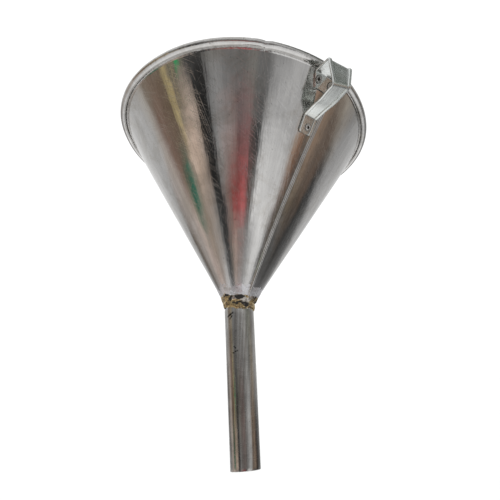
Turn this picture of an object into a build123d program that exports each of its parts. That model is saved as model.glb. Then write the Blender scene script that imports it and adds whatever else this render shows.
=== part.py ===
from build123d import *
import os
from math import cos, degrees, radians, sin, tan

# Sheet-metal funnel: wired-rim cone with a lock seam, brazed spout and riveted strap handle.
#
# Frame: +Z up along the cone's axis, origin at the neck, where the axes of cone and spout cross.
# The handle stands over +X. All sizes are in millimetres.

# ---- driving dimensions -------------------------------------------------------------------

# cone and wired rim
mouth_diameter = 210.0  # over the rim bead
cone_height = 147.0  # neck to the top of the bead
cone_half_angle = 31.6
cone_sheet = 0.5
bead_diameter = 4.2
wire_diameter = 3.1
wire_end_gap = 0.5
wire_joint_azimuth = -25.0
curl_wrap = 308.0  # degrees of wire that the curl goes round
cone_lower_edge = 2.0  # height of the cone's small end above the neck

# lock seam, a flat fold that stands out of the cone
seam_azimuth = 6.2
seam_width = 3.0
seam_height = 1.0
seam_step_width = 1.6
seam_step_height = 0.5
seam_rim_clearance = 2.9

# spout
spout_diameter = 25.0
spout_wall = 0.8
spout_length = 137.0  # along its own axis, from the neck to the centre of the outlet
spout_lean = 4.5  # the spout isn't quite in line with the cone
spout_lean_azimuth = 61.2
outlet_cut_angle = 13.8  # the outlet is cut this far off square
outlet_short_azimuth = -24.0  # the side on which the spout is shortest
spigot_length = 8.0  # stretch under the braze, dressed down to enter the cone
spigot_reduction = 0.25
spigot_rise = 5.0  # how far the spigot stands up inside the cone

# braze
braze_foot = 0.6  # how far it stands off the spout at its lower edge
braze_belly = 1.5  # and at the neck
braze_top = 0.4  # and off the cone at its upper edge
braze_rise = 15.0  # how far the solder spread up the cone
braze_lap = 1.5  # the runs round the spout and round the cone lap by this much at the neck
braze_collar_step = 0.4  # the run round the cone starts this far inside the run round the spout
lump_radius = 2.9
lump_sink = 0.7
lump_azimuths = (-150, -95, -40, 35, 110)

# handle strap
strap_thickness = 0.7
hem_thickness = 0.7
hem_width = 2.2
strap_gap = 0.05  # air between strap and cone
grip_stand_off = 115.2  # radius of the grip's outer face, under the hems
arm_height = 141.8  # height of the upper arm's top face, under the hems
grip_bottom = 124.6
upper_foot_length = 9.0
lower_foot_slant = (131.6, 142.6)  # lower foot's end and bend, measured up the cone from the neck
grip_half_width = 9.4  # at the top of the grip
taper_per_height = 0.13
taper_per_radius = 0.03
bend_radii = (1.2, 3.0, 3.0, 2.2)
upper_foot_clip = (3.0, 7.5)  # corner cut from the upper foot: across it, along it
lower_foot_clip = (1.2, 1.2)

# rivets
rivet_shank = 2.6
rivet_hole = 2.8
rivet_head = 5.0
rivet_head_height = 1.0
rivet_tail = 4.2
rivet_tail_height = 0.6
rivet_tail_clearance = 0.3  # keeps the flat tail clear of the curved sheet
rivet_head_taper = 25.0
upper_rivet_spacing = 10.4
upper_rivet_inset = 4.6  # from the upper foot's end
lower_rivet_inset = 4.4

# tools that cut the pieces above
section_azimuth = 80.0  # where round pieces start, away from the lock seam and the rivets
drill_reach = 4.0
clip_reach = 3.0
clip_margin = 1.0
braze_core_inset = 2.0  # how far inside the spout's wall the braze's blank starts

# ---- derived places -----------------------------------------------------------------------

bead_r = bead_diameter / 2
wire_seat_r = bead_r - cone_sheet  # inside radius of the curl
wire_ring_r = mouth_diameter / 2 - bead_r
wire_z = cone_height - bead_r
half_angle = radians(cone_half_angle)
outer_r_at_neck = wire_ring_r - wire_seat_r / cos(half_angle) - wire_z * tan(half_angle)
wire_slant = (wire_ring_r - outer_r_at_neck) * sin(half_angle) + wire_z * cos(half_angle)


def on_cone(slant, proud=0.0):
    """(x, z) of a point up the cone's outer face from the neck, standing proud of the face."""
    x = outer_r_at_neck + slant * sin(half_angle) + proud * cos(half_angle)
    z = slant * cos(half_angle) - proud * sin(half_angle)
    return x, z


def cone_radius(z, proud=0.0):
    """Outer radius of the cone at a height, or of a face that stands proud of it."""
    return outer_r_at_neck + z * tan(half_angle) + proud / cos(half_angle)


def spun(plane, azimuth):
    """The same plane carried round the cone's axis."""
    turn = Location((0, 0, 0), (0, 0, azimuth))
    return Plane(turn * plane.location)


def cone_plane(slant, azimuth, proud=0.0):
    """Plane lying on the cone: its x runs up the slant and its z points out of the metal."""
    x, z = on_cone(slant, proud)
    lying = Plane(origin=(x, 0, z), x_dir=(sin(half_angle), 0, cos(half_angle)),
                  z_dir=(cos(half_angle), 0, -sin(half_angle)))
    return spun(lying, azimuth)


# the spout's axis points down and leans; this plane's z runs along it and its origin is the neck
lean = radians(spout_lean)
lean_way = radians(spout_lean_azimuth)
spout_axis = (sin(lean) * cos(lean_way), sin(lean) * sin(lean_way), -cos(lean))
spout_side = (cos(lean) * cos(lean_way), cos(lean) * sin(lean_way), sin(lean))
spout_plane = Plane(origin=(0, 0, 0), x_dir=spout_side, z_dir=spout_axis)
spout_r = spout_diameter / 2

# the strap's path is the face that carries the hems: upper foot, arm, grip, lower arm, lower foot
upper_bend_slant = (arm_height + (strap_gap + hem_thickness) * sin(half_angle)) / cos(half_angle)
upper_foot_end = upper_bend_slant - upper_foot_length
lower_foot_end, lower_bend_slant = lower_foot_slant
strap_points = [
    on_cone(upper_foot_end, strap_gap + hem_thickness),
    on_cone(upper_bend_slant, strap_gap + hem_thickness),
    (grip_stand_off, arm_height),
    (grip_stand_off, grip_bottom),
    on_cone(lower_bend_slant, strap_gap + strap_thickness),
    on_cone(lower_foot_end, strap_gap + strap_thickness),
]

# each rivet: how far up the cone, how far sideways, and how proud of the cone its head sits
upper_head_seat = strap_gap + hem_thickness + strap_thickness
lower_head_seat = strap_gap + strap_thickness
rivet_places = [
    (upper_foot_end + upper_rivet_inset, -upper_rivet_spacing / 2, upper_head_seat),
    (upper_foot_end + upper_rivet_inset, upper_rivet_spacing / 2, upper_head_seat),
    (lower_foot_end + lower_rivet_inset, 0, lower_head_seat),
]


def strap_half_width(x, z):
    """The strap tapers from the top of the grip down to the lower foot."""
    return (grip_half_width - taper_per_height * (arm_height - z)
            - taper_per_radius * (grip_stand_off - x))


def strap_side(sign, inset=0.0):
    """Plane of one side edge of the strap, facing outwards; inset moves it into the strap."""
    facing = Vector(-taper_per_radius, sign, -taper_per_height).normalized()
    side = Plane(origin=(grip_stand_off, sign * grip_half_width, arm_height),
                 x_dir=(1, 0, taper_per_radius / -taper_per_height), z_dir=facing)
    return side.offset(-inset)


# ---- rivet holes, cut alike through the cone and the strap ----------------------------------

with BuildPart() as rivet_drill:
    for slant, sideways, _ in rivet_places:
        with BuildSketch(cone_plane(slant, 0)):
            with Locations((0, sideways)):
                Circle(rivet_hole / 2)
        extrude(amount=drill_reach, both=True)

# ---- cone shell: sheet, curl and lock seam --------------------------------------------------

section_plane = spun(Plane.XZ, section_azimuth)
wire_centre = (wire_ring_r, wire_z)
tangent_angle = 180 - cone_half_angle  # where the sheet first touches the wire
inner_edge_r = cone_radius(cone_lower_edge, -cone_sheet)

with BuildPart() as cone_shell:
    with BuildSketch(section_plane):
        with BuildLine():
            seat = CenterArc(wire_centre, wire_seat_r, tangent_angle, -curl_wrap)
            outside = CenterArc(wire_centre, bead_r, tangent_angle, -curl_wrap)
            Line((cone_radius(cone_lower_edge), cone_lower_edge), seat @ 0)
            Line(seat @ 1, outside @ 1)
            Line(outside @ 0, (inner_edge_r, cone_lower_edge))
            Line((inner_edge_r, cone_lower_edge), (cone_radius(cone_lower_edge), cone_lower_edge))
        make_face()
    revolve(axis=Axis.Z)

    seam_start = braze_rise / cos(half_angle) + seam_height  # the solder covers it below
    seam_end = wire_slant - seam_rim_clearance
    seam_sink = cone_sheet / 2
    seam_plane = cone_plane((seam_start + seam_end) / 2, seam_azimuth, -seam_sink)
    with BuildSketch(seam_plane):
        Rectangle(seam_end - seam_start, seam_width)
    extrude(amount=seam_sink + seam_step_height)
    with BuildSketch(seam_plane):
        Rectangle(seam_end - seam_start, seam_step_width)
    extrude(amount=seam_sink + seam_height)
    add(rivet_drill.part, mode=Mode.SUBTRACT)
cone_shell.part.label = "cone_shell"

# ---- rim wire -------------------------------------------------------------------------------

wire_sweep = 360 - degrees(wire_end_gap / wire_ring_r)
with BuildPart() as rim_wire:
    with BuildSketch(spun(Plane.XZ, wire_joint_azimuth)):
        with Locations(wire_centre):
            Circle(wire_diameter / 2)
    revolve(axis=Axis.Z, revolution_arc=wire_sweep)
rim_wire.part.label = "rim_wire"

# ---- spout tube -----------------------------------------------------------------------------

outlet_cut = radians(outlet_cut_angle)
short_way = radians(outlet_short_azimuth)
outlet_facing = Vector(spout_axis) * cos(outlet_cut)
outlet_facing += Vector(cos(short_way), sin(short_way), 0) * sin(outlet_cut)
outlet_plane = Plane(origin=Vector(spout_axis) * spout_length, z_dir=outlet_facing)
with BuildPart() as spout_tube:
    with BuildSketch(spout_plane.offset(-spigot_rise)):
        Circle(spout_r - spigot_reduction)
    extrude(amount=spigot_rise + spigot_length)
    with BuildSketch(spout_plane.offset(spigot_length)):
        Circle(spout_r)
    extrude(amount=spout_length)
    with BuildSketch(spout_plane.offset(-spigot_rise)):
        Circle(spout_r - spout_wall)
    extrude(amount=spigot_rise + spigot_length + spout_length, mode=Mode.SUBTRACT)
    split(bisect_by=outlet_plane, keep=Keep.BOTTOM)
spout_tube.part.label = "spout_tube"

# ---- braze bead -----------------------------------------------------------------------------

with BuildPart() as cone_plug:
    with BuildSketch(section_plane):
        plug_top = braze_rise + braze_rise
        Polygon(
            (0, cone_lower_edge),
            (cone_radius(cone_lower_edge), cone_lower_edge),
            (cone_radius(plug_top), plug_top),
            (0, plug_top),
            align=None,
        )
    revolve(axis=Axis.Z)

with BuildPart() as braze_bead:
    up_spout = Vector(spout_axis) * -1
    spout_section = Plane(origin=(0, 0, 0), x_dir=spout_side,
                          z_dir=Vector(spout_side).cross(up_spout))
    core_r = spout_r - braze_core_inset
    belly_r = spout_r + braze_belly
    collar_r = belly_r - braze_collar_step
    with BuildSketch(spout_section):
        with BuildLine():
            foot = (spout_r + braze_foot, -spigot_length)
            Line(foot, (belly_r, -braze_lap))
            Polyline((belly_r, -braze_lap), (belly_r, braze_lap), (core_r, braze_lap))
            Polyline((core_r, braze_lap), (core_r, -spigot_length), foot)
        make_face()
    revolve(axis=Axis((0, 0, 0), spout_axis))
    with BuildSketch(section_plane):
        Polygon(
            (core_r, -braze_lap),
            (collar_r, -braze_lap),
            (collar_r, cone_lower_edge / 2),
            (cone_radius(braze_rise, braze_top), braze_rise),
            (core_r, braze_rise),
            align=None,
        )
    revolve(axis=Axis.Z)
    for azimuth in lump_azimuths:
        lump_way = radians(azimuth)
        lump_r = spout_r - lump_sink
        with Locations((lump_r * cos(lump_way), lump_r * sin(lump_way), braze_lap)):
            Sphere(lump_radius)
    add(cone_plug.part, mode=Mode.SUBTRACT)
    with BuildSketch(spout_plane.offset(-braze_rise - spigot_rise)):
        Circle(spout_r - spigot_reduction)
    extrude(amount=braze_rise + spigot_rise + spout_length, mode=Mode.SUBTRACT)
braze_bead.part.label = "braze_bead"

# ---- handle strap ---------------------------------------------------------------------------

strap_blank_half = 12

with BuildPart() as strap_sheet:
    with BuildSketch(Plane.XZ):
        with BuildLine():
            path = FilletPolyline(*strap_points, radius=bend_radii)
            offset(path, amount=strap_thickness, side=Side.RIGHT)
        make_face()
    extrude(amount=strap_blank_half, both=True)
    split(bisect_by=strap_side(1), keep=Keep.BOTTOM)
    split(bisect_by=strap_side(-1), keep=Keep.BOTTOM)

with BuildPart() as strap_hem:
    with BuildSketch(Plane.XZ):
        with BuildLine():
            path = FilletPolyline(*strap_points, radius=bend_radii)
            offset(path, amount=hem_thickness, side=Side.LEFT)
        make_face()
    extrude(amount=-strap_blank_half)
    split(bisect_by=strap_side(1), keep=Keep.BOTTOM)
    split(bisect_by=strap_side(1, hem_width), keep=Keep.TOP)

with BuildPart() as foot_clips:
    for foot_end, clip in ((upper_foot_end, upper_foot_clip), (lower_foot_end, lower_foot_clip)):
        across, along = clip
        edge = strap_half_width(*on_cone(foot_end))
        for sign in (1, -1):
            with BuildSketch(cone_plane(foot_end, 0)):
                Polygon(
                    (-clip_margin, sign * (edge - across)),
                    (0, sign * (edge - across)),
                    (along, sign * (edge + clip_margin)),
                    (-clip_margin, sign * (edge + clip_margin)),
                    align=None,
                )
            extrude(amount=clip_reach, both=True)

with BuildPart() as handle_strap:
    add(strap_sheet.part)
    add(strap_hem.part)
    mirror(strap_hem.part, about=Plane.XZ)
    add(foot_clips.part, mode=Mode.SUBTRACT)
    add(rivet_drill.part, mode=Mode.SUBTRACT)
handle_strap.part.label = "handle_strap"

# ---- rivets ---------------------------------------------------------------------------------

tail_depth = cone_sheet + rivet_tail_clearance
with BuildPart() as handle_rivets:
    for slant, sideways, head_seat in rivet_places:
        under_sheet = cone_plane(slant, 0, -tail_depth)
        with BuildSketch(under_sheet):
            with Locations((0, sideways)):
                Circle(rivet_shank / 2)
        extrude(amount=tail_depth + head_seat)
        with BuildSketch(under_sheet):
            with Locations((0, sideways)):
                Circle(rivet_tail / 2)
        extrude(amount=-rivet_tail_height)
        with BuildSketch(cone_plane(slant, 0, head_seat)):
            with Locations((0, sideways)):
                Circle(rivet_head / 2)
        extrude(amount=rivet_head_height, taper=rivet_head_taper)
handle_rivets.part.label = "handle_rivets"

# ---- write the pieces -----------------------------------------------------------------------

os.makedirs("parts", exist_ok=True)
export_step(cone_shell.part, "parts/cone_shell.step")
export_step(rim_wire.part, "parts/rim_wire.step")
export_step(spout_tube.part, "parts/spout_tube.step")
export_step(braze_bead.part, "parts/braze_bead.step")
export_step(handle_strap.part, "parts/handle_strap.step")
export_step(handle_rivets.part, "parts/handle_rivets.step")
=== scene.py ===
import math
import bpy
from mathutils import Euler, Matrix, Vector, noise


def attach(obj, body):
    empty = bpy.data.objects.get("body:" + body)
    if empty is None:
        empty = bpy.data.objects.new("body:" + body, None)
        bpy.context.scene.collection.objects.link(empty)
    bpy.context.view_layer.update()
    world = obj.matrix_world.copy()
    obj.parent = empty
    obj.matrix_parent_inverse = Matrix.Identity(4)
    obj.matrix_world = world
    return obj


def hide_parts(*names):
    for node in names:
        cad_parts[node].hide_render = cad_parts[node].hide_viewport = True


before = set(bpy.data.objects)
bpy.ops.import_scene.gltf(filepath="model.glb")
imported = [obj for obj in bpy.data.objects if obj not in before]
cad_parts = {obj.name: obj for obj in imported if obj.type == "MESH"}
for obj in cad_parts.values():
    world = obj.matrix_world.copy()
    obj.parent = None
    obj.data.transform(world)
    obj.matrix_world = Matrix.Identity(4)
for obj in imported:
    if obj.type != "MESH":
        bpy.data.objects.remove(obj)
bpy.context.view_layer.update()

# The looks of the sheet-metal funnel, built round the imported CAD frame. Lengths are in mm, and MM turns
# them into metres where they reach Blender. Only the scale of a noise is per metre.

MM = 0.001

# ---- the CAD's own dimensions ---------------------------------------------------------------

HALF_ANGLE = math.radians(31.6)
CONE_R0 = 11.884  # outer radius of the cone at the neck
SHEET = 0.5
CONE_FOOT = 2.0
BEAD_R = 2.07  # a hair under the CAD's, so that facets stay inside its box
WIRE_R = 1.55
WIRE_RING_R = 102.9
WIRE_Z = 144.9
WIRE_JOINT = math.radians(-25.0)
WIRE_GAP = 0.5  # between the wire's butted ends
CURL_START = math.radians(148.4)
CURL_WRAP = math.radians(308.0)

SPOUT_R = 12.5
SPOUT_WALL = 0.8
SPOUT_LENGTH = 137.0
SPOUT_RISE = 5.0
SPIGOT = 5.0  # the braze hides where the dressed end starts
SPIGOT_CUT = 0.25
LEAN = math.radians(4.5)
LEAN_WAY = math.radians(61.2)
OUTLET_CUT = math.radians(13.8)
OUTLET_SHORT = math.radians(-24.0)

STRAP_T = 0.7
HEM_T = 0.7
HEM_W = 2.2
STRAP_GAP = 0.05
GRIP_X = 115.2
ARM_Z = 141.8
GRIP_BOTTOM = 124.6
UPPER_FOOT = 8.6
LOWER_FOOT_END = 131.6
LOWER_BEND = 142.6
BEND_RADII = (1.0, 1.7, 2.4, 1.5)
UPPER_CLIP = (3.0, 7.5)
LOWER_CLIP = (0.6, 0.8)
RIVET_SPREAD = 5.2
UPPER_RIVET_IN = 4.6  # from the end of the foot, up the cone
LOWER_RIVET_IN = 4.4
SHANK_R = 1.3

# ---- small helpers --------------------------------------------------------------------------


def smooth(low, high, x):
    """0 below low, 1 above high, an S curve between them."""
    t = min(1.0, max(0.0, (x - low) / (high - low)))
    return t * t * (3 - 2 * t)


def bump_at(x, centre, width):
    """A soft hump of height 1 round centre."""
    return math.exp(-(((x - centre) / width) ** 2))


def wobble(x, y, z, size, seed=0.0):
    """Smooth noise from about -1 to 1, with features about size mm across."""
    return noise.noise(Vector((x / size + seed, y / size - seed, z / size + 0.37 * seed)))


def ring_noise(azimuth, turns, seed):
    """Smooth noise round the funnel that meets itself, livelier with more turns."""
    return noise.noise(Vector((turns * math.cos(azimuth), turns * math.sin(azimuth), seed)))


def turned(azimuth, r, z):
    """Point at an azimuth, a radius and a height."""
    return Vector((r * math.cos(azimuth), r * math.sin(azimuth), z))


def on_cone(slant, proud=0.0):
    """(x, z) up the cone's outer face from the neck, standing proud of it."""
    x = CONE_R0 + slant * math.sin(HALF_ANGLE) + proud * math.cos(HALF_ANGLE)
    return x, slant * math.cos(HALF_ANGLE) - proud * math.sin(HALF_ANGLE)


def cone_r(z):
    """Outer radius of the cone at a height."""
    return CONE_R0 + z * math.tan(HALF_ANGLE)


def grid_faces(rows, columns, loop_rows=True, loop_columns=True, flip=False):
    """Quads of a grid of points that are stored row by row."""
    faces = []
    for i in range(rows if loop_rows else rows - 1):
        for j in range(columns if loop_columns else columns - 1):
            a = i * columns + j
            b = i * columns + (j + 1) % columns
            c = ((i + 1) % rows) * columns + (j + 1) % columns
            d = ((i + 1) % rows) * columns + j
            faces.append((a, d, c, b) if flip else (a, b, c, d))
    return faces


def bar_faces(rows, columns, flip=False):
    """Faces of a bar whose rows are its closed sections, with both of its ends."""
    first = range(columns)
    last = range((rows - 1) * columns, rows * columns)
    ends = (first, reversed(last)) if flip else (reversed(first), last)
    return grid_faces(rows, columns, loop_rows=False, flip=flip) + [tuple(end) for end in ends]


def mesh_piece(name, points, faces, finish, node, sharp):
    """A piece that stands for a CAD node, shaded smooth but for edges sharper than sharp degrees."""
    mesh = bpy.data.meshes.new(name)
    mesh.from_pydata([tuple(p * MM for p in v) for v in points], [], faces)
    mesh.validate()
    mesh.shade_smooth()
    mesh.set_sharp_from_angle(angle=math.radians(sharp))
    mesh.materials.append(finish.material)
    piece = bpy.data.objects.new(name, mesh)
    bpy.context.scene.collection.objects.link(piece)
    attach(piece, "root")
    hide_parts(node)


# ---- node helpers ---------------------------------------------------------------------------

# the numbers of the Mix node's sockets for colours
MIX_A = 6
MIX_B = 7
MIX_OUT = 2


class Nodes:
    """Builds a node tree. Where a value is asked for, it is a number, a colour or a node's output."""

    def __init__(self, tree):
        self.tree = tree
        self.tree.nodes.clear()

    def add(self, kind, **settings):
        """A new node, with settings such as its operation."""
        node = self.tree.nodes.new(kind)
        for setting, value in settings.items():
            setattr(node, setting, value)
        return node

    def link(self, output, socket):
        self.tree.links.new(output, socket)

    def feed(self, socket, value):
        if isinstance(value, bpy.types.NodeSocket):
            self.link(value, socket)
        else:
            socket.default_value = value

    def math(self, operation, a, b=0.0, c=0.0):
        node = self.add("ShaderNodeMath", operation=operation)
        for socket, value in zip(node.inputs, (a, b, c)):
            self.feed(socket, value)
        return node.outputs[0]

    def vector(self, x, y, z):
        node = self.add("ShaderNodeCombineXYZ")
        for socket, value in zip(node.inputs, (x, y, z)):
            self.feed(socket, value)
        return node.outputs[0]

    def split(self, vector):
        """A vector's x, y and z."""
        node = self.add("ShaderNodeSeparateXYZ")
        self.link(vector, node.inputs[0])
        return tuple(node.outputs)

    def distance(self, vector, centre):
        """How far a vector lies from a place given in mm."""
        node = self.add("ShaderNodeVectorMath", operation="DISTANCE")
        self.link(vector, node.inputs[0])
        node.inputs[1].default_value = tuple(part * MM for part in centre)
        return node.outputs["Value"]

    def mapped(self, vector, scale=(1, 1, 1), rotation=(0, 0, 0), location=(0, 0, 0)):
        node = self.add("ShaderNodeMapping")
        self.link(vector, node.inputs["Vector"])
        node.inputs["Scale"].default_value = scale
        node.inputs["Rotation"].default_value = rotation
        node.inputs["Location"].default_value = location
        return node.outputs[0]

    def noise(self, vector, scale, detail=3.0, rough=0.5, distortion=0.0):
        node = self.add("ShaderNodeTexNoise")
        self.link(vector, node.inputs["Vector"])
        node.inputs["Scale"].default_value = scale
        node.inputs["Detail"].default_value = detail
        node.inputs["Roughness"].default_value = rough
        node.inputs["Distortion"].default_value = distortion
        return node.outputs["Fac"]

    def spread(self, value, low, high, to_low=0.0, to_high=1.0, kind="LINEAR"):
        """Takes low to high on to to_low to to_high, and holds beyond them."""
        node = self.add("ShaderNodeMapRange", clamp=True, interpolation_type=kind)
        self.link(value, node.inputs["Value"])
        node.inputs["From Min"].default_value = low
        node.inputs["From Max"].default_value = high
        node.inputs["To Min"].default_value = to_low
        node.inputs["To Max"].default_value = to_high
        return node.outputs[0]

    def mix(self, factor, a, b):
        """Colour a where the factor is 0, b where it is 1."""
        node = self.add("ShaderNodeMix", data_type="RGBA")
        self.feed(node.inputs["Factor"], factor)
        self.feed(node.inputs[MIX_A], a)
        self.feed(node.inputs[MIX_B], b)
        return node.outputs[MIX_OUT]

    def ramp(self, value, stops):
        """Stops are (place, colour); a colour is a grey or three parts of linear light."""
        node = self.add("ShaderNodeValToRGB")
        self.link(value, node.inputs["Fac"])
        elements = node.color_ramp.elements
        while len(elements) > 1:
            elements.remove(elements[-1])
        for i, (place, colour) in enumerate(stops):
            stop = elements[0] if i == 0 else elements.new(place)
            stop.position = place
            rgb = (colour,) * 3 if isinstance(colour, (int, float)) else colour
            stop.color = (*rgb, 1.0)
        return node.outputs["Color"]


class Surface(Nodes):
    """Builds one material. It has the shaded place in metres, its x, y and z, and its azimuth."""

    def __init__(self, name):
        self.material = bpy.data.materials.new(name)
        self.material.use_nodes = True
        super().__init__(self.material.node_tree)
        self.shader = self.add("ShaderNodeBsdfPrincipled")
        output = self.add("ShaderNodeOutputMaterial")
        self.link(self.shader.outputs["BSDF"], output.inputs["Surface"])
        self.place = self.add("ShaderNodeTexCoord").outputs["Object"]
        self.x, self.y, self.z = self.split(self.place)
        self.azimuth = self.math("ARCTAN2", self.y, self.x)

    def set(self, socket, value):
        self.feed(self.shader.inputs[socket], value)

    def paint(self, share, colour):
        """Lays a colour over what is painted so far, by a share from 0 to 1."""
        base = self.shader.inputs["Base Color"]
        below = base.links[0].from_socket if base.links else tuple(base.default_value)
        self.link(self.mix(share, below, colour), base)

    def bump(self, height, strength, depth, normal=None):
        """The normal over a height, whose full swing is depth mm, on top of an earlier normal."""
        node = self.add("ShaderNodeBump")
        node.inputs["Strength"].default_value = strength
        node.inputs["Distance"].default_value = depth * MM
        self.link(height, node.inputs["Height"])
        if normal is not None:
            self.link(normal, node.inputs["Normal"])
        return node.outputs["Normal"]

    def mark(self, azimuth, height, radius, length, width, tilt):
        """A short ragged mark lying on a round face: its place, size and tilt, in degrees and mm."""
        ragged = self.noise(self.place, 700.0, 3.0, 0.6)
        aside = self.math("SUBTRACT", self.azimuth, math.radians(azimuth))
        across = self.math("MULTIPLY", aside, radius * MM)
        up = self.math("SUBTRACT", self.z, height * MM)
        cosine = math.cos(math.radians(tilt))
        sine = math.sin(math.radians(tilt))
        run = self.math("ADD", self.math("MULTIPLY", across, cosine), self.math("MULTIPLY", up, sine))
        off = self.math("SUBTRACT", self.math("MULTIPLY", up, cosine), self.math("MULTIPLY", across, sine))
        off = self.math("ADD", self.math("ABSOLUTE", off), self.math("MULTIPLY", ragged, width * MM))
        inside = self.spread(off, width * MM, 0.6 * width * MM)
        ends = self.spread(self.math("ABSOLUTE", run), 0.5 * length * MM, 0.35 * length * MM)
        return self.math("MULTIPLY", inside, ends)

    def scratches(self, vector, angle, length, width, keep):
        """Thin lines lying at an angle in degrees, kept where a stretched noise passes keep."""
        lying = self.mapped(vector, rotation=(0, 0, math.radians(angle)))
        stretched = self.mapped(lying, scale=(1 / (length * MM), 1 / (width * MM), 1.0))
        return self.spread(self.noise(stretched, 1.0, 2.0, 0.55), keep, keep + 0.05)


def tinted(tone, tint=(1.0, 1.0, 1.0)):
    """The colour of a tone and a tint."""
    return (*(tone * part for part in tint), 1.0)


# ---- camera ---------------------------------------------------------------------------------

CAMERA_AT = Vector((247.3, -146.8, -43.0))
CAMERA_YAW = 0.9765415  # its three turns are in radians
CAMERA_PITCH = 0.1066
CAMERA_ROLL = -0.0326
CAMERA_SHIFT = (-0.016, 0.14)
LENS = 24.25
SENSOR = 36.0
NEAREST = 10.0
FARTHEST = 100000.0

camera_data = bpy.data.cameras.new("camera")
camera_data.sensor_width = SENSOR
camera_data.lens = LENS
camera_data.shift_x, camera_data.shift_y = CAMERA_SHIFT
camera_data.clip_start = NEAREST * MM
camera_data.clip_end = FARTHEST * MM
camera = bpy.data.objects.new("camera", camera_data)
bpy.context.scene.collection.objects.link(camera)
bpy.context.scene.camera = camera
turn = Euler((0, 0, CAMERA_YAW)).to_matrix() @ Euler((CAMERA_PITCH, 0, 0)).to_matrix()
turn = turn @ Euler((0, CAMERA_ROLL, 0)).to_matrix() @ Euler((math.pi / 2, 0, 0)).to_matrix()
camera.matrix_world = turn.to_4x4()
camera.location = CAMERA_AT * MM

# ---- metals ---------------------------------------------------------------------------------

GRAIN_R = 60.0  # the sheet's grain is laid out as if round a cylinder of this radius
# angle in degrees, length, width, and how high their noise must be for them to show
TIN_SCRATCHES = ((38, 14.0, 0.24, 0.62), (-50, 10.0, 0.22, 0.66), (76, 50.0, 0.24, 0.64))
HEAT_GONE = 30.0  # heights at which the heat stain above the neck has gone and is full, before it is ragged
HEAT_FULL = 10.0
HEAT_RAGGED = 16.0
BEAD_FROM = 142.9  # the bead is rougher than the sheet below it
BEAD_FULL = 143.5


def tinplate(name, tone=0.72, gloss=0.04, metal=1.0, tint=(1.0, 0.985, 0.965)):
    """Bright tin-coated sheet: brushed down the cone, scratched, smudged, stained by heat at the neck."""
    n = Surface(name)
    wrap = n.vector(n.math("MULTIPLY", n.azimuth, GRAIN_R * MM), n.z, 0.0)
    drawn = n.mapped(wrap, scale=(1.0, 0.05, 1.0))
    brushed = n.noise(drawn, 1500.0, 3.0, 0.6)
    ribs = n.noise(drawn, 560.0, 3.0, 0.6)
    streaks = n.noise(n.mapped(wrap, scale=(1.0, 0.12, 1.0)), 170.0, 4.0, 0.6)
    speck = n.noise(n.place, 520.0, 3.0, 0.7)
    smudge = n.noise(n.place, 28.0, 5.0, 0.6, 0.4)
    cloud = n.noise(n.place, 75.0, 4.0, 0.6)
    blotch = n.noise(n.mapped(n.place, location=(0.7, 0.2, 0.4)), 38.0, 6.0, 0.7, 0.8)
    uneven = n.noise(n.place, 55.0, 2.0, 0.5)
    beaten = n.noise(n.place, 300.0, 3.0, 0.6)
    worn = 0.0
    for angle, length, width, keep in TIN_SCRATCHES:
        worn = n.math("MAXIMUM", worn, n.scratches(wrap, angle, length, width, keep))
    ragged_height = n.math("ADD", n.z, n.math("MULTIPLY", cloud, HEAT_RAGGED * MM))
    heat = n.spread(ragged_height, HEAT_GONE * MM, HEAT_FULL * MM)
    bead = n.spread(n.z, BEAD_FROM * MM, BEAD_FULL * MM)

    n.set("Metallic", metal)
    n.set("Base Color", tinted(tone, tint))
    n.paint(n.spread(streaks, 0.35, 0.7), tinted(tone * 0.82, tint))
    n.paint(n.spread(cloud, 0.5, 0.8, 0.0, 0.35), tinted(tone, (0.70, 0.68, 0.66)))
    n.paint(n.spread(blotch, 0.50, 0.70, 0.0, 0.6), tinted(tone, (0.62, 0.58, 0.51)))
    n.paint(n.spread(brushed, 0.45, 0.72, 0.0, 0.30), tinted(tone * 0.6))
    n.paint(n.spread(speck, 0.65, 0.71, 0.0, 0.5), tinted(0.12))
    n.paint(n.math("MULTIPLY", worn, 0.22), tinted(0.92))
    n.paint(n.math("MULTIPLY", heat, 0.7), (0.84, 0.82, 0.85, 1.0))

    rough = n.spread(smudge, 0.35, 0.7, gloss, gloss + 0.06)
    rough = n.math("ADD", rough, n.math("MULTIPLY", worn, 0.18))
    n.set("Roughness", n.math("ADD", rough, n.math("MULTIPLY", heat, 0.15)))

    normal = n.bump(brushed, 0.12, 0.03)
    normal = n.bump(worn, 0.2, 0.03, normal)
    normal = n.bump(streaks, 0.16, 0.3, normal)
    normal = n.bump(ribs, 0.20, 0.16, normal)
    normal = n.bump(uneven, 0.3, 0.7, normal)
    n.set("Normal", n.bump(n.math("MULTIPLY", beaten, bead), 0.45, 0.6, normal))
    return n


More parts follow.
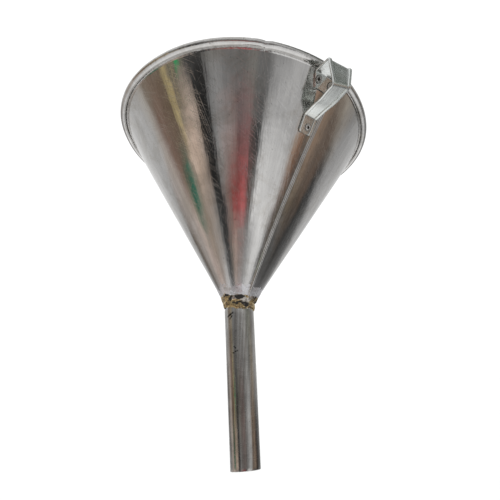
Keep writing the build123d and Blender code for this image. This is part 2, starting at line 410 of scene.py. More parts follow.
def dull_metal(name, tone, gloss, grain=600.0, tint=(1.0, 0.985, 0.955), streaky=0.0, metal=1.0, marks=()):
    """Bare or dulled metal with mottling, fine scratches, darker stains and streaks drawn along z."""
    n = Surface(name)
    stain = n.noise(n.place, 60.0, 5.0, 0.65, 0.5)
    mottle = n.noise(n.place, 260.0, 4.0, 0.6)
    speck = n.noise(n.place, 480.0, 3.0, 0.7)
    grains = n.noise(n.place, grain, 3.0, 0.6)
    lines = n.scratches(n.vector(n.x, n.z, n.y), 12, 20.0, 0.4, 0.62)
    drawn = n.noise(n.mapped(n.place, scale=(1.0, 1.0, 0.03)), 420.0, 4.0, 0.65)

    n.set("Metallic", metal)
    n.set("Base Color", tinted(tone, tint))
    n.paint(n.spread(stain, 0.4, 0.75), tinted(tone * 0.6, tint))
    n.paint(n.spread(mottle, 0.5, 0.8, 0.0, 0.3), tinted(tone * 0.5))
    n.paint(n.spread(drawn, 0.42, 0.7, 0.0, streaky), tinted(tone, (0.38, 0.34, 0.30)))
    n.paint(n.spread(speck, 0.66, 0.72, 0.0, 0.7), tinted(0.05))
    n.paint(n.math("MULTIPLY", lines, 0.12), tinted(min(0.95, tone * 1.35)))
    for place in marks:
        n.paint(n.mark(*place), tinted(0.03))

    rough = n.spread(mottle, 0.3, 0.75, gloss, gloss + 0.14)
    n.set("Roughness", n.math("ADD", rough, n.math("MULTIPLY", lines, 0.1)))

    normal = n.bump(grains, 0.25, 0.05)
    normal = n.bump(drawn, 0.2 * streaky, 0.1, normal)
    n.set("Normal", n.bump(lines, 0.12, 0.03, normal))
    return n


# Radii of the painted shade on a rivet, dark colour standing in for the shade in its hollow and round its
# head. In its hollow the shade is full within the first and gone at the second. Round the head it comes in
# from the first to the second, and goes out from the third to the fourth.
HOLLOW_SHADE = (0.8, 1.15)
HEAD_RING_SHADE = (2.05, 2.4, 3.5, 4.0)


def rivet_metal(name, middles):
    """Dull metal with painted shade: dark colour in the hollows and round the heads of rivets, where shade
    falls.
    """
    n = dull_metal(name, tone=0.70, gloss=0.20, metal=0.9)
    for middle in middles:
        near = n.distance(n.place, middle)
        # painted shade: the rivet's hollow is darkened in its colour
        n.paint(n.spread(near, HOLLOW_SHADE[1] * MM, HOLLOW_SHADE[0] * MM), (0.05, 0.045, 0.035, 1.0))
        # painted shade: a dark ring in the colour round each rivet head
        beyond = n.spread(near, HEAD_RING_SHADE[0] * MM, HEAD_RING_SHADE[1] * MM)
        within = n.spread(near, HEAD_RING_SHADE[3] * MM, HEAD_RING_SHADE[2] * MM)
        n.paint(n.math("MULTIPLY", beyond, within), (0.09, 0.085, 0.07, 1.0))
    return n


def braze_metal(name):
    """Brass that ran and froze, with tin-grey and black flux patches."""
    n = Surface(name)
    patch = n.noise(n.place, 110.0, 4.0, 0.6, 0.6)
    flattened = n.mapped(n.place, scale=(0.8, 0.8, 1.6), location=(0.3, 0.1, 0.2))
    flux = n.noise(flattened, 120.0, 5.0, 0.65, 0.6)
    pits = n.noise(n.place, 900.0, 3.0, 0.6)
    runs = n.noise(n.place, 420.0, 4.0, 0.65)
    n.set("Base Color", (0.72, 0.57, 0.31, 1.0))
    n.paint(n.spread(pits, 0.35, 0.7), (0.32, 0.21, 0.10, 1.0))
    n.paint(n.spread(patch, 0.55, 0.62), (0.62, 0.58, 0.53, 1.0))
    n.paint(n.spread(flux, 0.47, 0.53), (0.02, 0.016, 0.014, 1.0))
    n.set("Metallic", n.spread(flux, 0.46, 0.56, 1.0, 0.2))
    n.set("Roughness", n.spread(flux, 0.45, 0.56, 0.24, 0.6))
    n.set("Normal", n.bump(pits, 0.3, 0.1, n.bump(runs, 0.6, 0.4)))
    return n


# dark marks on the spout: azimuth, height, radius, length, width, tilt
SPOUT_MARKS = (
    (-66, -9.6, SPOUT_R, 9.0, 2.2, 33),
    (-62, -12.0, SPOUT_R, 5.0, 1.7, 50),
    (-41, -36.5, SPOUT_R, 3.2, 1.7, -35),
    (-34, -39.5, SPOUT_R, 3.6, 1.6, 20),
    (-46, -41.0, SPOUT_R, 2.2, 1.5, 0),
)

sheet_finish = tinplate("tinplate")
strap_finish = tinplate("strap_metal", tone=0.88, gloss=0.12, metal=0.92, tint=(0.965, 1.0, 0.975))
tube_finish = dull_metal("tube_metal", tone=0.66, gloss=0.10, streaky=0.7, marks=SPOUT_MARKS)
wire_finish = dull_metal("wire_metal", tone=0.45, gloss=0.32)
braze_finish = braze_metal("braze")
solder_finish = dull_metal("solder", tone=0.84, gloss=0.24, grain=420.0, tint=(0.98, 0.97, 1.0), metal=0.80)

# ---- cone with its curled rim ---------------------------------------------------------------

AROUND = 360
WALL_STEPS = 46
CURL_STEPS = 26
# where the rim has been knocked off round: how far out, at which azimuth and how widely, in mm and degrees
KNOCKS = ((1.0, 4, 15), (0.45, -32, 22), (-0.5, -122, 12))
KNOCKED_FROM = 112.0  # the height at which the knocks begin, and the one at which they are full
KNOCKED_FULL = 145.0
HANDLE_SIDE = 60  # only this near the handle, in degrees, may the rim stand out past its CAD
OUT_OF_ROUND = 0.2
KINK = 0.35  # how far the bead dips at the wire's joint, and how widely in degrees
KINK_WIDTH = 1.1
CURL_RAGGED = 0.05  # the share by which the curl's inner edge wanders
# the sheet's waves: height, length and seed; they come in above the neck and go out below the rim
WAVES = ((0.16, 34.0, 1.3), (0.05, 13.0, 5.1))
WAVES_IN = (4.0, 25.0)
WAVES_OUT = (136.0, 144.0)
# a point this near the cone's outer face moves with it wholly, and one this far off it doesn't move
NEAR = 2.5
FAR = 10.0


def rim_push(azimuth):
    """How far (out, up) in mm the rim has been knocked at an azimuth."""
    degrees = math.degrees(math.atan2(math.sin(azimuth), math.cos(azimuth)))
    out = sum(size * bump_at(degrees, centre, width) for size, centre, width in KNOCKS)
    out += OUT_OF_ROUND * ring_noise(azimuth, 2.0, 4.2)
    if abs(degrees) > HANDLE_SIDE:
        out = min(out, 0.0)
    kink = KINK * bump_at(degrees, math.degrees(WIRE_JOINT), KINK_WIDTH)
    return out - kink, -kink


def ring_point(azimuth, r, z):
    """A point of the cone or the rim, after the rim's knocks and the sheet's waves."""
    out, up = rim_push(azimuth)
    share = smooth(KNOCKED_FROM, KNOCKED_FULL, z)
    p = turned(azimuth, r, z)
    wave = sum(height * wobble(p.x, p.y, p.z, length, seed) for height, length, seed in WAVES)
    wave *= smooth(*WAVES_IN, z) * (1 - smooth(*WAVES_OUT, z))
    return turned(azimuth, r + out * share + wave, z + up * share)


def follow(p):
    """Carries a point on or near the cone along with the sheet under it."""
    r = math.hypot(p.x, p.y)
    share = 1 - smooth(NEAR, FAR, r - cone_r(p.z))
    return p.lerp(ring_point(math.atan2(p.y, p.x), r, p.z), share)


def cone_profile(azimuth):
    """The sheet's closed section: up the outside, round the wire's seat, back over the bead and down."""
    seat_r = BEAD_R - SHEET
    foot_r = cone_r(CONE_FOOT)
    top_r = WIRE_RING_R + seat_r * math.cos(CURL_START)
    top_z = WIRE_Z + seat_r * math.sin(CURL_START)
    points = []
    for i in range(WALL_STEPS):
        t = i / WALL_STEPS
        points.append((foot_r + (top_r - foot_r) * t, CONE_FOOT + (top_z - CONE_FOOT) * t))
    wrap = CURL_WRAP * (1 + CURL_RAGGED * ring_noise(azimuth, 3.0, 9.0))
    for i in range(CURL_STEPS + 1):
        a = CURL_START - wrap * i / CURL_STEPS
        points.append((WIRE_RING_R + seat_r * math.cos(a), WIRE_Z + seat_r * math.sin(a)))
    for i in range(CURL_STEPS + 1):
        a = CURL_START - wrap * (1 - i / CURL_STEPS)
        points.append((WIRE_RING_R + BEAD_R * math.cos(a), WIRE_Z + BEAD_R * math.sin(a)))
    top_r, top_z = points[-1]
    foot_r -= SHEET / math.cos(HALF_ANGLE)
    for i in range(1, WALL_STEPS + 1):
        t = i / WALL_STEPS
        points.append((top_r + (foot_r - top_r) * t, top_z + (CONE_FOOT - top_z) * t))
    return points


cone_points = []
for i in range(AROUND):
    azimuth = 2 * math.pi * i / AROUND
    cone_points += [ring_point(azimuth, r, z) for r, z in cone_profile(azimuth)]
cone_faces = grid_faces(AROUND, len(cone_points) // AROUND, flip=True)
mesh_piece("cone_sheet", cone_points, cone_faces, sheet_finish, "cone_shell", sharp=50)

# ---- wire in the rim ------------------------------------------------------------------------

WIRE_STEPS = 300
WIRE_SIDES = 14

wire_points = []
for i in range(WIRE_STEPS + 1):
    azimuth = WIRE_JOINT + (2 * math.pi - WIRE_GAP / WIRE_RING_R) * i / WIRE_STEPS
    for j in range(WIRE_SIDES):
        a = 2 * math.pi * j / WIRE_SIDES
        r = WIRE_RING_R + WIRE_R * math.cos(a)
        wire_points.append(ring_point(azimuth, r, WIRE_Z + WIRE_R * math.sin(a)))
wire_faces = bar_faces(WIRE_STEPS + 1, WIRE_SIDES, flip=True)
mesh_piece("rim_wire_ring", wire_points, wire_faces, wire_finish, "rim_wire", sharp=40)

# ---- lock seam ------------------------------------------------------------------------------

# the double fold's section: (across, proud of the cone)
SEAM_PROFILE = (
    (-1.75, -0.3), (-1.65, 0.12), (-1.45, 0.40), (-1.2, 0.48), (-0.98, 0.42), (-0.86, 0.16), (-0.74, 0.12),
    (-0.64, 0.42), (-0.48, 0.68), (-0.15, 0.80), (0.2, 0.78), (0.48, 0.66), (0.62, 0.4), (0.70, 0.14),
    (0.84, 0.12), (0.96, 0.36), (1.2, 0.46), (1.45, 0.36), (1.6, 0.1), (1.68, -0.3),
)
SEAM_FOOT = 4.0
SEAM_TOP = 142.4
SEAM_AZIMUTH = -1.4  # the seam's place at its foot, in degrees, and how much further round its top is
SEAM_DRIFT = 7.6
SEAM_WANDER = 0.12
WANDER_LENGTH = 17.0
SEAM_STEPS = 90

seam_points = []
for i in range(SEAM_STEPS + 1):
    t = i / SEAM_STEPS
    z = SEAM_FOOT + (SEAM_TOP - SEAM_FOOT) * t
    centre = math.radians(SEAM_AZIMUTH + SEAM_DRIFT * t)
    beaten_flat = 1 - 0.5 * (1 - smooth(0, 0.05, t)) - 0.4 * smooth(0.97, 1.0, t)  # at both of its ends
    for across, proud in SEAM_PROFILE:
        azimuth = centre + (across + SEAM_WANDER * wobble(z, 0, 0, WANDER_LENGTH)) / cone_r(z)
        away = turned(azimuth, math.cos(HALF_ANGLE), -math.sin(HALF_ANGLE))
        height = proud * beaten_flat if proud > 0 else proud
        seam_points.append(ring_point(azimuth, cone_r(z), z) + away * height)
seam_faces = bar_faces(SEAM_STEPS + 1, len(SEAM_PROFILE), flip=True)
mesh_piece("lock_seam", seam_points, seam_faces, sheet_finish, "cone_shell", sharp=30)

# ---- spout ----------------------------------------------------------------------------------

SPOUT_SIDES = 120
OUTSIDE_STEPS = 50
INSIDE_STEPS = 30
OUTSIDE = SPOUT_R - 0.3  # only the outer face is oval, dented and uneven
OVAL = 0.006
OVAL_TURN = 0.4
OVAL_IN = (20.0, 120.0)  # the stretch over which it comes in
DENT = -0.25
DENT_ALONG = 124.0  # how far down the spout the dent is, and its length
DENT_LENGTH = 5.0
DENT_ANGLE = -40.0  # its angle round the spout and its width, in degrees
DENT_WIDTH = 14.0
UNEVEN = 0.05
UNEVEN_R = 20.0  # the unevenness is taken from noise round a cylinder of this radius
MOST_PROUD = 0.05

axis = Vector((math.sin(LEAN) * math.cos(LEAN_WAY), math.sin(LEAN) * math.sin(LEAN_WAY), -math.cos(LEAN)))
side = Vector((math.cos(LEAN) * math.cos(LEAN_WAY), math.cos(LEAN) * math.sin(LEAN_WAY), math.sin(LEAN)))
across_axis = axis.cross(side)
shortest_way = turned(OUTLET_SHORT, 1, 0)
shortest = math.atan2(across_axis.dot(shortest_way), side.dot(shortest_way))


def spout_point(angle, r, along):
    """A point of the spout; along runs from the neck to the outlet, whose end is cut at a slant."""
    slanted = smooth(0.6 * SPOUT_LENGTH, SPOUT_LENGTH, along)
    cut = -math.tan(OUTLET_CUT) * r * math.cos(angle - shortest) * slanted
    if r > OUTSIDE:
        oval = 1 + OVAL * math.cos(2 * (angle + OVAL_TURN)) * smooth(*OVAL_IN, along)
        dent = DENT * bump_at(along, DENT_ALONG, DENT_LENGTH)
        dent *= bump_at(math.degrees(angle), DENT_ANGLE, DENT_WIDTH)
        uneven = UNEVEN * wobble(UNEVEN_R * math.cos(angle), UNEVEN_R * math.sin(angle), along, 22.0, 2.2)
        r = min(r * oval + dent + uneven, SPOUT_R + MOST_PROUD)
    return side * (r * math.cos(angle)) + across_axis * (r * math.sin(angle)) + axis * (along + cut)


def spout_profile():
    """The tube's closed section as (r, along): down the outside, round the lip and up the inside."""
    bore = SPOUT_R - SPOUT_WALL
    shoulder = SPIGOT + 0.5
    lip = SPOUT_LENGTH - 0.5
    points = [(SPOUT_R - SPIGOT_CUT, -SPOUT_RISE), (SPOUT_R - SPIGOT_CUT, SPIGOT - 1)]
    points += [(SPOUT_R, shoulder + (lip - shoulder) * i / OUTSIDE_STEPS) for i in range(OUTSIDE_STEPS + 1)]
    points += [(SPOUT_R - 0.12, SPOUT_LENGTH - 0.15), (SPOUT_R - 0.35, SPOUT_LENGTH)]
    points += [(bore + 0.1, SPOUT_LENGTH - 0.05)]
    points += [(bore, lip - (lip + SPOUT_RISE) * i / INSIDE_STEPS) for i in range(INSIDE_STEPS + 1)]
    return points


spout_points = []
for i in range(SPOUT_SIDES):
    angle = 2 * math.pi * i / SPOUT_SIDES
    spout_points += [spout_point(angle, r, along) for r, along in spout_profile()]
spout_faces = grid_faces(SPOUT_SIDES, len(spout_profile()))
mesh_piece("spout_pipe", spout_points, spout_faces, tube_finish, "spout_tube", sharp=40)

# ---- braze and solder -----------------------------------------------------------------------

NECK_SIDES = 200
NECK_ROWS = 34
SUNK = 0.25  # how far a run's edges lie below the metal that it covers, and how far its inner face does
INNER_SUNK = 0.35


def spout_radius_at(azimuth, z):
    """The leaning spout's outer radius about the cone's axis at a height."""
    return SPOUT_R - z * math.tan(LEAN) * math.cos(azimuth - LEAN_WAY)


def neck_run(name, low, high, thick, lumps, least, finish):
    """A run of braze or solder round the neck. Its low and high edges are (height, coarse and fine
    raggedness), and lumps are (height, size, seed). It keeps at least a thickness but for its edges."""
    points = []
    for i in range(NECK_SIDES):
        azimuth = 2 * math.pi * i / NECK_SIDES
        foot = low[0] + low[1] * ring_noise(azimuth, 1.7, 3.0) + low[2] * ring_noise(azimuth, 6.0, 3.5)
        top = high[0] + high[1] * ring_noise(azimuth, 2.0, 7.0) + high[2] * ring_noise(azimuth, 7.0, 1.0)
        outer = []
        inner = []
        for j in range(NECK_ROWS):
            t = j / (NECK_ROWS - 1)
            z = foot + (top - foot) * t
            under = max(spout_radius_at(azimuth, z), cone_r(z) if z > CONE_FOOT else 0.0)
            p = turned(azimuth, under, z)
            lump = sum(height * wobble(p.x, p.y, p.z, size, seed) for height, size, seed in lumps)
            body = max(0.0, math.sin(math.pi * t)) ** 0.5
            outer.append(turned(azimuth, under - SUNK + body * (SUNK + max(least, thick(t) + lump)), z))
            inner.append(turned(azimuth, under - INNER_SUNK, z))
        points += outer + inner[::-1]
    faces = grid_faces(NECK_SIDES, 2 * NECK_ROWS, flip=True)
    mesh_piece(name, points, faces, finish, "braze_bead", sharp=60)


neck_run("braze_run", low=(-4.4, 1.5, 0.8), high=(7.0, 1.8, 0.9), thick=lambda t: 1.45 - 0.35 * t,
         lumps=((0.50, 6.0, 2.0), (0.50, 2.6, 8.0), (0.18, 1.2, 4.0)), least=0.08, finish=braze_finish)
neck_run("solder_skirt", low=(3.0, 1.0, 0.5), high=(15.5, 3.5, 1.6), thick=lambda t: 0.70 * (1 - t) ** 1.3,
         lumps=((0.20, 6.0, 2.0), (0.20, 2.6, 8.0), (0.10, 1.2, 4.0)), least=0.01, finish=solder_finish)

# ---- handle strap ---------------------------------------------------------------------------

RUN_STEP = 1.2  # between points of the strap's straight runs, and between those of its bends
BEND_STEP = 0.35
# at each corner of the strap: half width, shift in x, y and z, and how far a cross line turns out and up for
# each mm across
STRAP_HAND = (
    (7.9, 0.0, -0.9, 0.0, 0.0, 0.0),
    (8.3, 0.0, -0.8, 0.0, 0.0, 0.02),
    (9.5, -1.85, 0.0, 0.0, 0.09, 0.055),
    (7.3, -0.85, 0.1, 0.7, 0.11, 0.25),
    (5.8, -0.1, -0.7, 0.0, 0.0, 0.02),
    (5.5, 0.0, -1.0, 0.0, 0.0, 0.0),
)
GRIP_CORNER = 3  # the corner below the grip, where the lower arm starts
CREASE_AT = 11.0  # a slight break in the lower arm, this far from that corner
CREASE_HEIGHT = 0.9
CREASE_WIDTH = 5.0
# half of the strap's section, from the middle of its outer face round a hem to near the middle of its inner
# face: a share of the way out to the edge or mm in from the edge, and the height over the strip's outer face
STRAP_HALF = (
    ("share", 0.0, 0.0), ("share", 0.5, 0.0), ("in", HEM_W + 0.25, 0.0), ("in", HEM_W + 0.05, -0.04),
    ("in", HEM_W - 0.02, 0.10), ("in", HEM_W - 0.03, 0.50), ("in", HEM_W - 0.18, 0.66),
    ("in", HEM_W - 0.45, HEM_T), ("in", 1.0, HEM_T), ("in", 0.45, 0.66), ("in", 0.15, 0.48),
    ("in", 0.0, 0.18), ("in", 0.0, -0.22), ("in", 0.14, -0.52), ("in", 0.40, -0.68),
    ("in", 0.8, -STRAP_T), ("share", 0.5, -STRAP_T),
)


def rounded_path(points, radii):
    """Points along a path of straight runs joined by arcs."""
    corners = []
    for before, corner, after, radius in zip(points, points[1:], points[2:], radii):
        back = (before - corner).normalized()
        on = (after - corner).normalized()
        half = back.angle(on) / 2
        reach = radius / math.tan(half)
        centre = corner + (back + on).normalized() * (radius / math.sin(half))
        corners.append((corner + back * reach, corner + on * reach, centre, radius, math.pi - 2 * half))
    line = []
    start = points[0]
    for enter, leave, centre, radius, sweep in corners:
        count = max(2, int((enter - start).length / RUN_STEP))
        line += [start.lerp(enter, k / count) for k in range(count)]
        first = enter - centre
        last = leave - centre
        way = 1.0 if first.x * last.y > first.y * last.x else -1.0
        count = max(5, int(radius * sweep / BEND_STEP))
        for k in range(count):
            a = way * sweep * k / count
            line.append(centre + Vector((first.x * math.cos(a) - first.y * math.sin(a),
                                         first.x * math.sin(a) + first.y * math.cos(a))))
        start = leave
    count = max(2, int((points[-1] - start).length / RUN_STEP))
    return line + [start.lerp(points[-1], k / count) for k in range(count + 1)]


def hand_made(along):
    """The strap's half width and its small faults at a distance along its line."""
    last = len(corner_places) - 2
    k = next((k for k in range(last) if along <= corner_places[k + 1]), last)
    t = smooth(corner_places[k], corner_places[k + 1], along)
    return [a + (b - a) * t for a, b in zip(STRAP_HAND[k], STRAP_HAND[k + 1])]


def clipped(width, clip, from_end):
    """The half width within a foot's clipped corners; clip is (across, along)."""
    return width - clip[0] * (1 - from_end / clip[1]) if from_end < clip[1] else width


def strap_section(width):
    """The closed section: from the middle of the outer face round a hem, the inner face and a hem."""
    right = [(width * v if kind == "share" else width - v, h) for kind, v, h in STRAP_HALF]
    left = [(-y, h) for y, h in reversed(right[1:])]
    return right + [(0.0, -STRAP_T)] + left


upper_bend = (ARM_Z + (STRAP_GAP + HEM_T) * math.sin(HALF_ANGLE)) / math.cos(HALF_ANGLE)
upper_end = upper_bend - UPPER_FOOT
strap_corners = [
    Vector(on_cone(upper_end, STRAP_GAP + HEM_T)),
    Vector(on_cone(upper_bend, STRAP_GAP + HEM_T)),
    Vector((GRIP_X, ARM_Z)),
    Vector((GRIP_X, GRIP_BOTTOM)),
    Vector(on_cone(LOWER_BEND, STRAP_GAP + STRAP_T)),
    Vector(on_cone(LOWER_FOOT_END, STRAP_GAP + STRAP_T)),
]
strap_line = rounded_path(strap_corners, BEND_RADII)
lengths = [0.0]
for a, b in zip(strap_line, strap_line[1:]):
    lengths.append(lengths[-1] + (b - a).length)
corner_places = []
for corner in strap_corners:
    nearest = min(range(len(strap_line)), key=lambda k: (strap_line[k] - corner).length)
    corner_places.append(lengths[nearest])

strap_points = []
for i, (p, length) in enumerate(zip(strap_line, lengths)):
    ahead = strap_line[min(i + 1, len(strap_line) - 1)]
    along = (ahead - strap_line[max(i - 1, 0)]).normalized()
    out = Vector((-along.y, along.x))
    width, shift_x, shift_y, shift_z, out_turn, up_turn = hand_made(length)
    width = clipped(width, UPPER_CLIP, length)
    width = clipped(width, LOWER_CLIP, lengths[-1] - length)
    p = p + out * CREASE_HEIGHT * bump_at(length, corner_places[GRIP_CORNER] + CREASE_AT, CREASE_WIDTH)
    for y, h in strap_section(width):
        x = p.x + out.x * h + shift_x + out_turn * y
        z = p.y + out.y * h + shift_z + up_turn * y
        strap_points.append(follow(Vector((x, y + shift_y, z))))
strap_faces = bar_faces(len(strap_line), len(strap_section(1.0)))
mesh_piece("strap_handle", strap_points, strap_faces, strap_finish, "handle_strap", sharp=38)

# ---- rivets ---------------------------------------------------------------------------------

# sections of a rivet as (radius, height): its head over the strap, and its tail over a place TAIL_DROP below
# the cone's inner face
HEAD = ((0.0, 0.10), (0.55, 0.12), (0.80, 0.35), (0.95, 0.80), (1.20, 0.98), (1.45, 0.92), (1.62, 0.62),
        (1.80, 0.60), (2.05, 0.66), (2.30, 0.50), (2.42, 0.22), (2.46, -0.1))
TAIL = ((0.0, -0.60), (0.9, -0.56), (1.5, -0.42), (1.9, -0.22), (2.08, 0.05))
TAIL_DROP = 0.3
SHANK_SUNK = 0.2  # the bare shank runs from this far under the strap's face to this far under the sheet
RIVET_SIDES = 40
RIVET_UNEVEN = 0.03
SHADE_HEIGHT = 0.3  # the middle of a head's painted shade ring, over the strap
outward = Vector((math.cos(HALF_ANGLE), 0, -math.sin(HALF_ANGLE)))
uphill = Vector((math.sin(HALF_ANGLE), 0, math.cos(HALF_ANGLE)))
sideways = Vector((0, 1, 0))

rivet_middles = []
rivet_points = []
rivet_faces = []
for slant, y, seat in ((upper_end + UPPER_RIVET_IN, -RIVET_SPREAD, STRAP_GAP + HEM_T + STRAP_T),
                       (upper_end + UPPER_RIVET_IN, RIVET_SPREAD, STRAP_GAP + HEM_T + STRAP_T),
                       (LOWER_FOOT_END + LOWER_RIVET_IN, 0.0, STRAP_GAP + STRAP_T)):
    x, z = on_cone(slant)
    foot = Vector((x, y, z))
    # the centre of the painted shade on each rivet
    rivet_middles.append(follow(foot + outward * (seat + SHADE_HEIGHT)))
    profile = [(r, seat + h) for r, h in HEAD]
    profile += [(SHANK_R, seat - SHANK_SUNK), (SHANK_R, -SHEET - SHANK_SUNK)]
    profile += [(r, h - SHEET - TAIL_DROP) for r, h in reversed(TAIL)]
    start = len(rivet_points)
    for i in range(RIVET_SIDES):
        a = 2 * math.pi * i / RIVET_SIDES
        uneven = 1 + RIVET_UNEVEN * wobble(4 * math.cos(a) + slant, 4 * math.sin(a), y, 3.0)
        way = (uphill * math.cos(a) + sideways * math.sin(a)) * uneven
        rivet_points += [follow(foot + way * r + outward * h) for r, h in profile]
    for face in grid_faces(RIVET_SIDES, len(profile), loop_columns=False):
        rivet_faces.append(tuple(start + corner for corner in face))
rivet_finish = rivet_metal("rivet_metal", rivet_middles)
mesh_piece("strap_rivets", rivet_points, rivet_faces, rivet_finish, "handle_rivets",
           sharp=50)

# ---- floor ----------------------------------------------------------------------------------

FLOOR_Z = -400.0
FLOOR_REACH = 12000.0

floor_mesh = bpy.data.meshes.new("floor")
ways = ((-1, -1), (1, -1), (1, 1), (-1, 1))
floor_corners = [Vector((i * FLOOR_REACH, j * FLOOR_REACH, FLOOR_Z)) for i, j in ways]
floor_mesh.from_pydata([corner * MM for corner in floor_corners], [], [(0, 1, 2, 3)])
floor = bpy.data.objects.new("floor", floor_mesh)
bpy.context.scene.collection.objects.link(floor)
pale = Surface("pale_floor")
pale.set("Base Color", tinted(0.93))
pale.set("Roughness", 0.9)
pale.set("Specular IOR Level", 0.0)
floor_mesh.materials.append(pale.material)
floor.visible_glossy = False

# ---- light ----------------------------------------------------------------------------------

# What the metal mirrors: a plain room of soft bands. Each ring of it is (heading, colour) at one height.
# Headings are in degrees from the camera's side, and a colour is a grey or three parts of linear light.
STEEP = (
    (-180, 1.0), (-140, 0.72), (-100, 0.55), (-80, 0.5), (-64, 0.62), (-57, 0.50), (-50, 0.30), (-46, 0.10),
    (-38, 0.07), (-32, (0.13, 0.12, 0.11)), (-25, (0.28, 0.23, 0.20)), (-17, (0.42, 0.32, 0.28)),
    (-8, (0.29, 0.24, 0.225)), (0, (0.28, 0.235, 0.225)), (14, 0.30), (24, 0.45), (32, 0.62), (45, 0.74),
    (54, 0.64), (59, 0.16), (66, 0.24), (76, 0.14), (110, 0.4), (145, 0.7), (180, 1.0),
)
LOW = (
    (-180, 1.0), (-150, 0.50), (-100, (0.42, 0.37, 0.33)), (-90, (0.54, 0.46, 0.42)),
    (-80, (0.34, 0.29, 0.26)), (-68, (0.42, 0.38, 0.35)), (-60, (0.36, 0.33, 0.31)),
    (-54, (0.27, 0.25, 0.23)), (-49, 0.18), (-46, 0.045), (-35, 0.04), (-32, (0.20, 0.16, 0.15)),
    (-27, (0.24, 0.17, 0.15)), (-21, (0.26, 0.12, 0.11)), (-17, (0.34, 0.09, 0.085)),
    (-9, (0.30, 0.075, 0.075)), (-3, (0.50, 0.13, 0.13)), (3, (0.46, 0.14, 0.14)), (7, (0.14, 0.09, 0.085)),
    (13, (0.13, 0.12, 0.11)), (16, 0.30), (19, 0.78), (40, 0.78), (54, 0.70), (58, 0.24),
    (64, (0.14, 0.13, 0.12)), (76, 0.10), (90, 0.13), (110, 0.22), (150, 0.50), (180, 1.0),
)
MIDDLE = (
    (-180, 0.5), (-112, (0.42, 0.38, 0.35)), (-94, (0.54, 0.44, 0.40)), (-86, (0.40, 0.33, 0.29)),
    (-78, (0.31, 0.25, 0.20)), (-70, (0.30, 0.25, 0.21)), (-63, (0.40, 0.33, 0.28)),
    (-56, (0.36, 0.30, 0.26)), (-51, (0.24, 0.20, 0.18)), (-48, 0.025), (-38, 0.022), (-35, 0.24),
    (-33, 0.31), (-24, (0.35, 0.29, 0.28)), (-16, (0.33, 0.26, 0.25)), (-11, (0.26, 0.17, 0.16)),
    (-7, (0.17, 0.10, 0.10)), (-3, (0.22, 0.12, 0.12)), (3, (0.26, 0.13, 0.13)), (8, (0.10, 0.075, 0.07)),
    (13, 0.05), (16, 0.10), (19, 0.56), (30, 0.70), (46, 0.68), (56, 0.58), (60, (0.30, 0.26, 0.25)),
    (66, (0.13, 0.11, 0.09)), (76, 0.12), (105, 0.09), (130, 0.25), (180, 0.5),
)
UPPER = (
    (-180, 0.5), (-130, 0.25), (-112, (0.38, 0.34, 0.31)), (-104, (0.48, 0.42, 0.39)),
    (-95, (0.52, 0.43, 0.38)), (-91, (0.24, 0.25, 0.19)), (-86, (0.03, 0.13, 0.09)),
    (-78, (0.05, 0.17, 0.12)), (-75, (0.24, 0.25, 0.20)), (-72, (0.32, 0.26, 0.21)),
    (-68, (0.64, 0.51, 0.42)), (-60, (0.64, 0.50, 0.41)), (-51, (0.50, 0.41, 0.35)), (-48, 0.022),
    (-38, 0.022), (-35, 0.22), (-27, 0.29), (-20, 0.20), (-3, (0.165, 0.16, 0.155)),
    (5, (0.21, 0.205, 0.19)), (13, 0.155), (18, 0.19), (23, 0.34), (32, 0.44), (54, 0.47),
    (58, (0.40, 0.32, 0.26)), (63, (0.26, 0.15, 0.10)), (71, 0.075), (79, (0.22, 0.18, 0.14)),
    (90, (0.11, 0.09, 0.075)), (104, 0.05), (180, 0.5),
)
LEVEL = (
    (-180, 0.5), (-145, 0.3), (-130, (0.14, 0.12, 0.10)), (-113, (0.44, 0.40, 0.38)),
    (-102, (0.46, 0.41, 0.37)), (-97, (0.36, 0.30, 0.27)), (-91, (0.22, 0.15, 0.12)),
    (-73, (0.165, 0.125, 0.09)), (-71, (0.40, 0.33, 0.18)), (-68, (0.46, 0.37, 0.20)),
    (-66, (0.20, 0.17, 0.13)), (-55, (0.26, 0.22, 0.185)), (-51, 0.07), (-40, 0.06),
    (-30, (0.17, 0.16, 0.14)), (-14, (0.16, 0.13, 0.12)), (-6, (0.18, 0.145, 0.135)),
    (4, (0.20, 0.15, 0.14)), (12, (0.17, 0.15, 0.14)), (24, 0.24), (38, 0.48), (56, 0.44),
    (62, (0.30, 0.20, 0.14)), (67, (0.12, 0.11, 0.09)), (78, (0.32, 0.23, 0.17)), (88, (0.14, 0.11, 0.09)),
    (96, (0.13, 0.095, 0.075)), (104, 0.05), (122, 0.12), (180, 0.5),
)
EVEN = (
    (-180, 0.6), (-150, 0.50), (-130, 0.46), (-108, 0.46), (-99, (0.43, 0.41, 0.38)),
    (-94, (0.24, 0.20, 0.16)), (-86, (0.19, 0.15, 0.115)), (-78, (0.25, 0.21, 0.17)),
    (-70, (0.28, 0.24, 0.17)), (-60, 0.22), (-40, 0.15), (-12, 0.22), (10, 0.20), (38, 0.38), (60, 0.24),
    (84, (0.30, 0.25, 0.20)), (96, (0.33, 0.30, 0.26)), (103, (0.28, 0.26, 0.24)), (112, 0.34), (135, 0.45),
    (180, 0.6),
)
RAISED = (
    (-180, 0.8), (-150, 0.64), (-128, 0.56), (-110, 0.50), (-101, (0.36, 0.31, 0.27)),
    (-92, (0.25, 0.21, 0.17)), (-78, (0.25, 0.20, 0.15)), (-68, (0.31, 0.27, 0.19)), (-60, 0.22),
    (-20, 0.35), (30, 0.5), (58, (0.24, 0.25, 0.22)), (80, (0.27, 0.28, 0.25)), (96, 0.24), (112, 0.30),
    (126, 0.42), (150, 0.52), (180, 0.8),
)
OVERHEAD = (
    (-180, 0.85), (-70, 0.65), (0, 0.62), (35, 0.34), (52, (0.065, 0.075, 0.064)),
    (70, (0.075, 0.085, 0.073)), (84, 0.30), (110, 0.5), (180, 0.85),
)
BELOW = (
    (-180, 0.85), (0, 0.7), (180, 0.85),
)
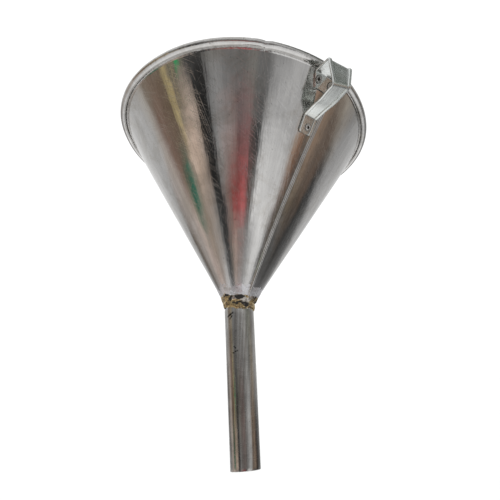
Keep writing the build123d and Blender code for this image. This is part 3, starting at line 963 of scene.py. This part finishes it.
# the level ring again, with a green light in it
GLINT = tuple(stop for stop in LEVEL if not -65 < stop[0] < -50)
GLINT += (
    (-63, (0.12, 0.12, 0.09)), (-60, (0.02, 0.34, 0.12)), (-57, (0.02, 0.34, 0.12)),
    (-54, (0.12, 0.12, 0.09)),
)
# (sine of the elevation, ring), from straight down to straight up
ROOM = (
    (-0.95, BELOW), (-0.70, STEEP), (-0.60, LOW), (-0.48, MIDDLE), (-0.36, UPPER), (-0.23, LEVEL),
    (-0.18, GLINT), (-0.13, LEVEL), (0.0, EVEN), (0.22, RAISED), (0.65, OVERHEAD),
)
ROOM_STRENGTH = 1.16
PLAIN_STRENGTH = 1.12


def room_colour(n):
    """The room's colour in the direction looked in: its rings, blended from one height to the next."""
    from_camera = math.atan2(CAMERA_AT.y, CAMERA_AT.x)
    direction = n.mapped(n.add("ShaderNodeTexCoord").outputs["Generated"], rotation=(0, 0, -from_camera))
    x, y, rise = n.split(direction)
    round_ring = n.math("MULTIPLY_ADD", n.math("ARCTAN2", y, x), 0.5 / math.pi, 0.5)
    below = None
    mirrored = None
    for height, ring in ROOM:
        colour = n.ramp(round_ring, [(heading / 360 + 0.5, shade) for heading, shade in ring])
        if mirrored is None:
            mirrored = colour
        else:
            mirrored = n.mix(n.spread(rise, below, height, kind="SMOOTHSTEP"), mirrored, colour)
        below = height
    return mirrored


world = bpy.data.worlds.new("studio")
bpy.context.scene.world = world
world.use_nodes = True
studio = Nodes(world.node_tree)
room = studio.add("ShaderNodeBackground")
studio.feed(room.inputs["Color"], room_colour(studio))
room.inputs["Strength"].default_value = ROOM_STRENGTH
plain = studio.add("ShaderNodeBackground")
plain.inputs["Color"].default_value = tinted(1.0)
plain.inputs["Strength"].default_value = PLAIN_STRENGTH
either = studio.add("ShaderNodeMixShader")
# mirrored rays see the room, and all others plain white light
studio.link(studio.add("ShaderNodeLightPath").outputs["Is Glossy Ray"], either.inputs[0])
studio.link(plain.outputs[0], either.inputs[1])
studio.link(room.outputs[0], either.inputs[2])
studio.link(either.outputs[0], studio.add("ShaderNodeOutputWorld").inputs["Surface"])

bpy.context.scene.view_settings.view_transform = "Standard"
bpy.context.scene.cycles.max_bounces = 16
bpy.context.scene.cycles.glossy_bounces = 14
